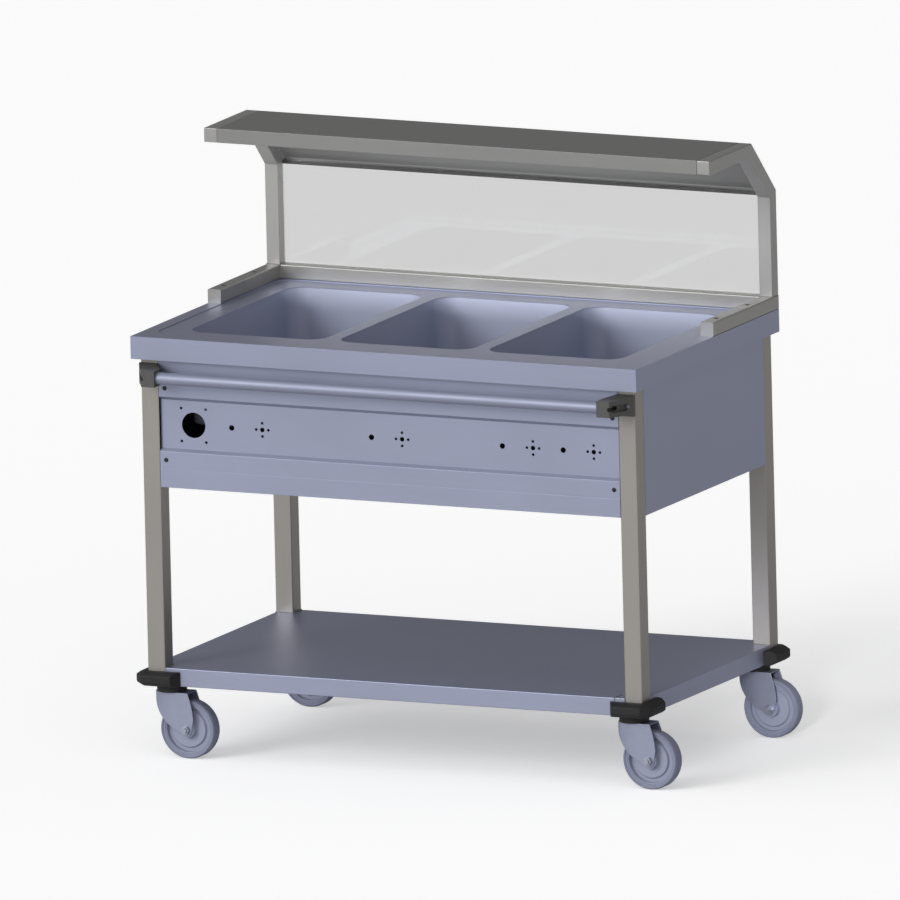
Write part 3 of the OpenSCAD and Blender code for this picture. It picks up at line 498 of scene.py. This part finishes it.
# A thread: steps in one turn, sides of the ridge, and the ridge's radius as a share of the pitch
THREAD_STEPS = 20
RIDGE_SIDES = 4
RIDGE_SHARE = 0.42


def bead_tree() -> Sizes:
    """Builds the tree that lays a weld bead along a path, one overlapped drop per pitch.

    Returns:
        The tree, with inputs Pitch, Width and Material.
    """
    made = Sizes("weld_bead", {"Pitch": FLOAT, "Width": FLOAT, "Material": MATERIAL})
    path = made.node("GeometryNodeMeshToCurve", {"Mesh": made.given["Geometry"]})[0]
    spaced = made.node("GeometryNodeResampleCurve", {
        "Curve": path, "Length": made.given["Pitch"]}, mode="LENGTH")[0]
    drop = made.node("GeometryNodeMeshUVSphere", {
        "Segments": DROP_SEGMENTS, "Rings": DROP_RINGS, "Radius": made.given["Width"]})[0]
    tangent = made.node("GeometryNodeInputTangent")[0]
    turn = made.node("FunctionNodeAlignRotationToVector", {"Vector": tangent}, axis="X")[0]
    laid = made.node("GeometryNodeInstanceOnPoints", {
        "Points": spaced, "Instance": drop, "Rotation": turn, "Scale": DROP_SHAPE})[0]
    made.close(laid)
    return made


def head_tree() -> Sizes:
    """Builds the tree that sets a cross-recessed screw head and its washer on each point, along facing.

    Returns:
        The tree, with inputs Radius, Height, Washer, Thickness and Material.
    """
    made = Sizes("screw_head", {
        "Radius": FLOAT, "Height": FLOAT, "Washer": FLOAT, "Thickness": FLOAT, "Material": MATERIAL})
    given = made.given
    crown = made.node("ShaderNodeMath", {0: given["Height"], 1: CROWN_SHARE}, operation="MULTIPLY")[0]
    wall = made.node("ShaderNodeMath", {0: given["Height"], 1: WALL_SHARE}, operation="MULTIPLY")[0]
    narrow = made.node("ShaderNodeMath", {0: given["Radius"], 1: CROWN_TOP_SHARE}, operation="MULTIPLY")[0]

    def lifted(mesh: bpy.types.NodeSocket, height: bpy.types.NodeSocket) -> bpy.types.NodeSocket:
        """Moves a mesh up by a height."""
        up = made.node("ShaderNodeCombineXYZ", {2: height})[0]
        return made.node("GeometryNodeTransform", {"Geometry": mesh, "Translation": up})[0]

    body = made.node("GeometryNodeMeshCylinder", {
        "Vertices": HEAD_SIDES, "Radius": given["Radius"], "Depth": wall})[0]
    half = made.node("ShaderNodeMath", {0: wall, 1: 0.5}, operation="MULTIPLY")[0]
    rise = made.node("ShaderNodeMath", {0: half, 1: given["Thickness"]}, operation="ADD")[0]
    body = lifted(body, rise)
    top = made.node("GeometryNodeMeshCone", {
        "Vertices": HEAD_SIDES, "Radius Top": narrow, "Radius Bottom": given["Radius"],
        "Depth": crown})[0]
    shoulder = made.node("ShaderNodeMath", {0: wall, 1: given["Thickness"]}, operation="ADD")[0]
    top = lifted(top, shoulder)
    solid = made.node("GeometryNodeMeshBoolean", {"Mesh 2": body}, operation="UNION")
    union = solid[0].node
    made.tree.links.new(top, union.inputs["Mesh 2"])
    head = solid[0]
    long = made.node("ShaderNodeMath", {0: given["Radius"], 1: CROSS_LONG_SHARE}, operation="MULTIPLY")[0]
    slim = made.node("ShaderNodeMath", {0: given["Radius"], 1: CROSS_SLIM_SHARE}, operation="MULTIPLY")[0]
    high = made.node("ShaderNodeMath", {0: given["Height"], 1: given["Thickness"]}, operation="ADD")[0]
    for size in ({0: long, 1: slim}, {0: slim, 1: long}):
        box = made.node("ShaderNodeCombineXYZ", {**size, 2: given["Height"]})[0]
        bar = lifted(made.node("GeometryNodeMeshCube", {"Size": box})[0], high)
        head = made.node("GeometryNodeMeshBoolean", {
            "Mesh 1": head, "Mesh 2": bar}, operation="DIFFERENCE")[0]
    washer = made.node("GeometryNodeMeshCylinder", {
        "Vertices": WASHER_SIDES, "Radius": given["Washer"], "Depth": given["Thickness"]})[0]
    mid = made.node("ShaderNodeMath", {0: given["Thickness"], 1: 0.5}, operation="MULTIPLY")[0]
    whole = made.node("GeometryNodeJoinGeometry", {0: head})[0]
    made.tree.links.new(lifted(washer, mid), whole.node.inputs[0])
    made.close(made.on_points(whole))
    return made


def thread_tree() -> Sizes:
    """Builds the tree that winds a screw thread up from each point's place.

    Returns:
        The tree, with inputs Radius, Length, Pitch and Material.
    """
    made = Sizes("screw_thread", {"Radius": FLOAT, "Length": FLOAT, "Pitch": FLOAT, "Material": MATERIAL})
    given = made.given
    turns = made.node("ShaderNodeMath", {0: given["Length"], 1: given["Pitch"]}, operation="DIVIDE")[0]
    helix = made.node("GeometryNodeCurveSpiral", {
        "Resolution": THREAD_STEPS, "Rotations": turns, "Start Radius": given["Radius"],
        "End Radius": given["Radius"], "Height": given["Length"]})[0]
    ridge = made.node("ShaderNodeMath", {0: given["Pitch"], 1: RIDGE_SHARE}, operation="MULTIPLY")[0]
    section = made.node("GeometryNodeCurvePrimitiveCircle", {"Resolution": RIDGE_SIDES, "Radius": ridge})[0]
    wound = made.node("GeometryNodeCurveToMesh", {
        "Curve": helix, "Profile Curve": section, "Fill Caps": True})[0]
    made.close(made.on_points(wound))
    return made


def points_mesh(name: str, places: list[Vector], facing: Vector) -> bpy.types.Mesh:
    """Makes a mesh of loose points that all face one way.

    Args:
        name: The mesh's name.
        places: The points.
        facing: The way that what stands on them points.

    Returns:
        The mesh, with the attribute facing.
    """
    mesh = bpy.data.meshes.new(name)
    mesh.from_pydata([tuple(p) for p in places], [], [])
    ways = mesh.attributes.new("facing", "FLOAT_VECTOR", "POINT")
    ways.data.foreach_set("vector", [c for _ in places for c in facing])
    return mesh


def paths_mesh(name: str, paths: list[list[Vector]]) -> bpy.types.Mesh:
    """Makes a mesh of open paths, without faces.

    Args:
        name: The mesh's name.
        paths: Each path's corners in order.

    Returns:
        The mesh.
    """
    corners: list[tuple[float, float, float]] = []
    edges: list[tuple[int, int]] = []
    for path in paths:
        first = len(corners)
        corners += [tuple(p) for p in path]
        edges += [(first + k, first + k + 1) for k in range(len(path) - 1)]
    mesh = bpy.data.meshes.new(name)
    mesh.from_pydata(corners, edges, [])
    return mesh


def weld(name: str, paths: list[list[Vector]]) -> None:
    """Lays weld beads of one body along open paths.

    Args:
        name: The piece's name.
        paths: The corners that the beads follow.
    """
    values = {"Pitch": BEAD_PITCH, "Width": BEAD_HALF, "Material": WELD.make()}
    settled(bead_tree().run(name, paths_mesh(name, paths), values), "chassis")


# What grinding leaves at a square tube's corners
GROUND_EDGE = 0.5 * MM


@dataclass
class Counter:
    """Worktop, wells, heaters and drain."""

    fold: float = 2.4 * MM
    rim: float = 1.0 * MM

    def build(self) -> None:
        """Rounds the folds and gives each piece its finish."""
        eased("worktop", "worktop.folded", self.fold, SHEET)
        for side in ("left", "centre", "right"):
            # the tubs' steel is painted lighter, as painted light for their shaded insides
            eased(f"well_{side}", f"well_{side}.drawn", self.rim, TUB_PAINTED_LIGHT)
            finished(f"heater_{side}", SHEATH)
        finished("drain_manifold", BRIGHT)
        eased("drain_valve", "drain_valve.forged", self.rim, BRASS)
        eased("drain_lever", "drain_lever.dipped", self.rim, LEVER, "drain_lever")


@dataclass
class Body:
    """Control panel, side and back panels and the floor under them."""

    fold: float = 1.6 * MM
    head: float = 3.75 * MM
    height: float = 2.2 * MM
    washer: float = 1.3
    washer_share: float = 0.2

    def build(self) -> None:
        """Rounds the folds and sets the panel's screws."""
        for node in ("front_panel", "back_panel", "body_floor"):
            eased(node, f"{node}.folded", self.fold, SHEET)
        for node in ("side_panel_left", "side_panel_right"):
            eased(node, f"{node}.folded", self.fold, SHEET_ACROSS)
        self.screws()

    def screws(self) -> None:
        """Sets a cross-recessed pan-head screw with its washer at each corner of the panel."""
        low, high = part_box("panel_screws")
        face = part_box("front_panel")[0].y
        places = [Vector((x, face, z)) for x in (low.x + self.head, high.x - self.head)
                  for z in (low.z + self.head, high.z - self.head)]
        values = {
            "Radius": self.head, "Height": self.height * (1 - self.washer_share),
            "Washer": self.head * self.washer, "Thickness": self.height * self.washer_share,
            "Material": BLACKENED.make()}
        guide = points_mesh("screws", places, Vector((0, -1, 0)))
        piece = head_tree().run("panel_screws.cross_recess", guide, values)
        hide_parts("panel_screws")
        settled(piece, "chassis")


@dataclass
class Frame:
    """Legs, rails, shelf and bumpers."""

    tube: float = 40 * MM
    fold: float = 1.6 * MM
    corner: float = 2.0 * MM
    corners: tuple[str, ...] = ("front_left", "front_right", "rear_left", "rear_right")

    def build(self) -> None:
        """Finishes the tubes, rounds the shelf's folds and the bumpers' edges."""
        for corner in self.corners:
            eased(f"leg_{corner}", f"leg_{corner}.ground", GROUND_EDGE, LEG)
            eased(f"bumper_{corner}", f"bumper_{corner}.moulded", self.corner, BUMPER)
        finished("top_frame", LEG)
        self.welds()
        eased("shelf", "shelf.folded", self.fold, SHEET)
        eased("shelf_stiffener", "shelf_stiffener.folded", self.fold, SHEET)

    def welds(self) -> None:
        """Welds the shelf to the legs, along its top face and down its apron."""
        shelf_low, shelf_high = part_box("shelf")
        paths = []
        for corner in self.corners:
            low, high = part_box(f"leg_{corner}")
            rear, right = corner.startswith("rear"), corner.endswith("right")
            inner_x = low.x if right else low.x + self.tube
            inner_y = low.y if rear else low.y + self.tube
            outer_x = high.x if right else low.x
            outer_y = high.y if rear else low.y
            top = shelf_high.z
            round_leg = ((outer_x, inner_y, top), (inner_x, inner_y, top), (inner_x, outer_y, top))
            paths += [[Vector(place) for place in round_leg],
                      [Vector((inner_x, outer_y, z)) for z in (shelf_low.z + self.corner, top)]]
        weld("shelf_welds", paths)


@dataclass
class Handle:
    """Handle tube in its two moulded brackets."""

    edge: float = 1.6 * MM

    def build(self) -> None:
        """Finishes the tube and the screws, and rounds the brackets."""
        eased("handle_tube", "handle_tube.satin", GROUND_EDGE, GRIP)
        for side in ("left", "right"):
            eased(f"handle_bracket_{side}", f"handle_bracket_{side}.moulded", self.edge, BRACKET)
        finished("handle_screws", BRIGHT)


@dataclass
class ServingHood:
    """Base rails, cross rail, posts, folded hood and glass, with their weld beads."""

    tube: float = 30 * MM
    edge: float = 2.0 * MM
    hood_edge: float = 1.2 * MM
    glass_edge: float = 1.0 * MM

    def build(self) -> None:
        """Rounds the tubes, the hood and the pane's edges, finishes the bolts and lays the welds."""
        for side in ("left", "right"):
            eased(f"base_rail_{side}", f"base_rail_{side}.ground", GROUND_EDGE, RAIL_Y)
            eased(f"hood_post_{side}", f"hood_post_{side}.mitred", self.edge, POST)
        eased("cross_rail", "cross_rail.ground", GROUND_EDGE, RAIL_X)
        # the hood's steel is painted darker than the posts', as painted shade
        eased("hood", "hood.folded", self.hood_edge, HOOD_PAINTED_SHADE)
        eased("glass_pane", "glass_pane.polished", self.glass_edge, GLASS)
        finished("rail_bolts", BRIGHT)
        self.welds()

    def welds(self) -> None:
        """Welds each post's foot to its base rail, and the cross rail between the two."""
        paths = []
        rail_low, rail_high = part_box("cross_rail")
        for side, inner in (("left", rail_low.x), ("right", rail_high.x)):
            low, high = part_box(f"hood_post_{side}")
            front = high.y - self.tube
            paths += [[Vector((x, front, low.z)) for x in (low.x, high.x)],
                      [Vector((inner, front, z)) for z in (rail_low.z, rail_high.z)]]
        weld("hood_welds", paths)


@dataclass
class Castor:
    """One swivel castor: head, fork, axle, wheel centre and tyre."""

    corner: str
    edge: float = 1.2 * MM
    fine_edge: float = 0.6 * MM
    axle: float = 4.7 * MM
    stub: float = 2.8 * MM
    pitch: float = 1.25 * MM
    parts: dict[str, Finish] = field(default_factory=lambda: {"wheel": CENTRE, "tyre": TREAD})

    def build(self) -> None:
        """Rounds the pressings and mouldings and finishes the wheel."""
        corner = self.corner
        eased(f"castor_head_{corner}", f"castor_head_{corner}.moulded", self.edge, NYLON)
        eased(f"castor_fork_{corner}", f"castor_fork_{corner}.pressed", self.edge, ZINC, f"castor_{corner}")
        axle = f"castor_axle_{corner}"
        eased(axle, f"{axle}.turned", self.fine_edge, BRIGHT, f"castor_{corner}")
        self.thread()
        for part, finish in self.parts.items():
            node = f"{part}_{corner}"
            eased(node, f"{node}.moulded", self.fine_edge, finish, f"wheelset_{corner}")

    def thread(self) -> None:
        """Winds the thread on the end of the axle that stands out of its nut."""
        low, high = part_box(f"castor_axle_{self.corner}")
        end = Vector(((low.x + high.x) / 2, low.y + self.stub, (low.z + high.z) / 2))
        name = f"castor_axle_{self.corner}.thread"
        values = {"Radius": self.axle, "Length": self.stub, "Pitch": self.pitch, "Material": BRIGHT.make()}
        piece = thread_tree().run(name, points_mesh(name, [end], Vector((0, -1, 0))), values)
        settled(piece, f"castor_{self.corner}")


@dataclass(frozen=True)
class Lamp:
    """A soft rectangular lamp that the camera doesn't see.

    Attributes:
        name: The lamp's name.
        place: Its middle.
        aim: The point that it faces.
        energy: Its power, in watts.
        width: Its width.
        depth: Its depth.
        spread: The full angle that its light fans out to, in degrees.
        mirrored: Whether the metal reflects it.
    """

    name: str
    place: tuple[float, float, float]
    aim: tuple[float, float, float]
    energy: float
    width: float
    depth: float
    spread: float = 180.0
    mirrored: bool = False

    def build(self) -> None:
        """Makes the lamp and turns it to its aim."""
        data = bpy.data.lights.new(self.name, "AREA")
        data.shape = "RECTANGLE"
        data.size, data.size_y = self.width, self.depth
        data.energy = self.energy
        data.spread = math.radians(self.spread)
        lamp = bpy.data.objects.new(self.name, data)
        bpy.context.scene.collection.objects.link(lamp)
        lamp.location = self.place
        lamp.rotation_euler = (Vector(self.aim) - lamp.location).to_track_quat("-Z", "Y").to_euler()
        lamp.visible_camera = lamp.visible_transmission = False
        lamp.visible_glossy = self.mirrored


@dataclass
class Studio:
    """Pale floor, soft light and the camera."""

    floor_size: float = 40.0
    width: float = 1.87527
    distance: float = 4.0
    right: Vector = field(default_factory=lambda: Vector((0.90423, 0.42640, -0.02342)))
    down: Vector = field(default_factory=lambda: Vector((0.06061, -0.18244, -0.98135)))
    ahead: Vector = field(default_factory=lambda: Vector((-0.42272, 0.88599, -0.19058)))
    middle: Vector = field(default_factory=lambda: Vector((-0.065583, 0.07469, 0.61609)))
    bright_side: tuple[float, float, float] = (-0.28, -0.95, 0.14)
    sky_low: float = 0.24
    sky_high: float = 1.35
    sky_seen: float = 1.0
    floor_colour: str = "#E6E6E6"
    floor_glow: float = 0.42
    key_energy: float = 1.2
    key_fan: float = 25.0
    far_clip: float = 60.0
    key_way: Vector = field(default_factory=lambda: Vector((0.45, 0.85, -0.42)))
    # A card over the wells lifts the hood's underside, and a narrow lamp the castor that the shelf shades
    fills: tuple[Lamp, ...] = (
        Lamp("card_under_hood", (0.0, 0.08, 0.96), (0.0, 0.24, 1.25), 5.5, 1.0, 0.2),
        Lamp("rear_castor_fill", (1.00, -1.10, 0.45), (0.57, 0.30, 0.09), 0.13, 0.15, 0.15, 16.0, True))

    def build(self) -> None:
        """Makes the floor, the lamps and the camera."""
        self.floor()
        self.lamps()
        self.camera()
        bpy.context.scene.view_settings.view_transform = "Standard"

    def seen(self, tree: bpy.types.NodeTree) -> bpy.types.NodeSocket:
        """Adds the test for a ray that the camera sends, straight or through the glass.

        Args:
            tree: The tree that gets the test.

        Returns:
            1 for such a ray and 0 for any other.
        """
        path = add(tree, "ShaderNodeLightPath").outputs
        return add(tree, "ShaderNodeMath", {
            0: path["Is Camera Ray"], 1: path["Is Transmission Ray"]}, operation="MAXIMUM").outputs[0]

    def floor(self) -> None:
        """Lays a pale floor that shows almost white and keeps the trolley's soft shadow."""
        half = self.floor_size / 2
        mesh = bpy.data.meshes.new("studio_floor")
        corners = [(-half, -half, 0), (half, -half, 0), (half, half, 0), (-half, half, 0)]
        mesh.from_pydata(corners, [], [(0, 1, 2, 3)])
        floor = mesh_piece("studio_floor", mesh)
        material = bpy.data.materials.new("pale_floor")
        material.use_nodes = True
        tree = material.node_tree
        tree.nodes.clear()
        seen = self.seen(tree)
        matt = add(tree, "ShaderNodeBsdfDiffuse", {"Color": linear(self.floor_colour)})
        glow = add(tree, "ShaderNodeEmission", {"Color": (1, 1, 1, 1), "Strength": self.floor_glow})
        lit = add(tree, "ShaderNodeAddShader", {0: matt.outputs[0], 1: glow.outputs[0]})
        mixed = add(tree, "ShaderNodeMixShader", {0: seen, 1: matt.outputs[0], 2: lit.outputs[0]})
        add(tree, "ShaderNodeOutputMaterial", {"Surface": mixed.outputs[0]})
        mesh.materials.append(material)

    def lamps(self) -> None:
        """Makes a soft sky that is brightest at the front, one broad key from the front left and fills."""
        world = bpy.data.worlds.new("studio_sky")
        world.use_nodes = True
        tree = world.node_tree
        tree.nodes.clear()
        seen = self.seen(tree)
        way = add(tree, "ShaderNodeTexCoord").outputs["Generated"]
        facing = add(tree, "ShaderNodeVectorMath", {
            0: way, 1: self.bright_side}, operation="DOT_PRODUCT").outputs[1]
        soft = add(tree, "ShaderNodeMapRange", {
            "Value": facing, "From Min": 0.0, "To Min": self.sky_low, "To Max": self.sky_high}).outputs[0]
        strength = add(tree, "ShaderNodeMix", {0: seen, 2: soft, 3: self.sky_seen}).outputs[0]
        sky = add(tree, "ShaderNodeBackground", {"Color": (1, 1, 1, 1), "Strength": strength})
        add(tree, "ShaderNodeOutputWorld", {"Surface": sky.outputs[0]})
        bpy.context.scene.world = world
        key = bpy.data.lights.new("key", "SUN")
        key.energy = self.key_energy
        key.angle = math.radians(self.key_fan)
        lamp = bpy.data.objects.new("key", key)
        bpy.context.scene.collection.objects.link(lamp)
        lamp.rotation_euler = self.key_way.to_track_quat("-Z", "Y").to_euler()
        for fill in self.fills:
            fill.build()

    def camera(self) -> None:
        """Sets the parallel camera of the photograph."""
        data = bpy.data.cameras.new("camera")
        data.type = "ORTHO"
        data.ortho_scale = self.width
        data.clip_end = self.far_clip
        camera = bpy.data.objects.new("camera", data)
        bpy.context.scene.collection.objects.link(camera)
        turn = Matrix((self.right, -self.down, -self.ahead)).transposed().to_4x4()
        camera.matrix_world = Matrix.Translation(self.middle - self.ahead * self.distance) @ turn
        bpy.context.scene.camera = camera


def main() -> None:
    """Builds the trolley's looks, sub-assembly by sub-assembly."""
    logging.basicConfig(level=logging.INFO, format="%(message)s")
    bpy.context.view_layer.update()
    Studio().build()
    parts = [Counter(), Body(), Frame(), Handle(), ServingHood()]
    parts += [Castor(corner) for corner in Frame.corners]
    for part in parts:
        part.build()


if __name__ == "__main__":
    main()
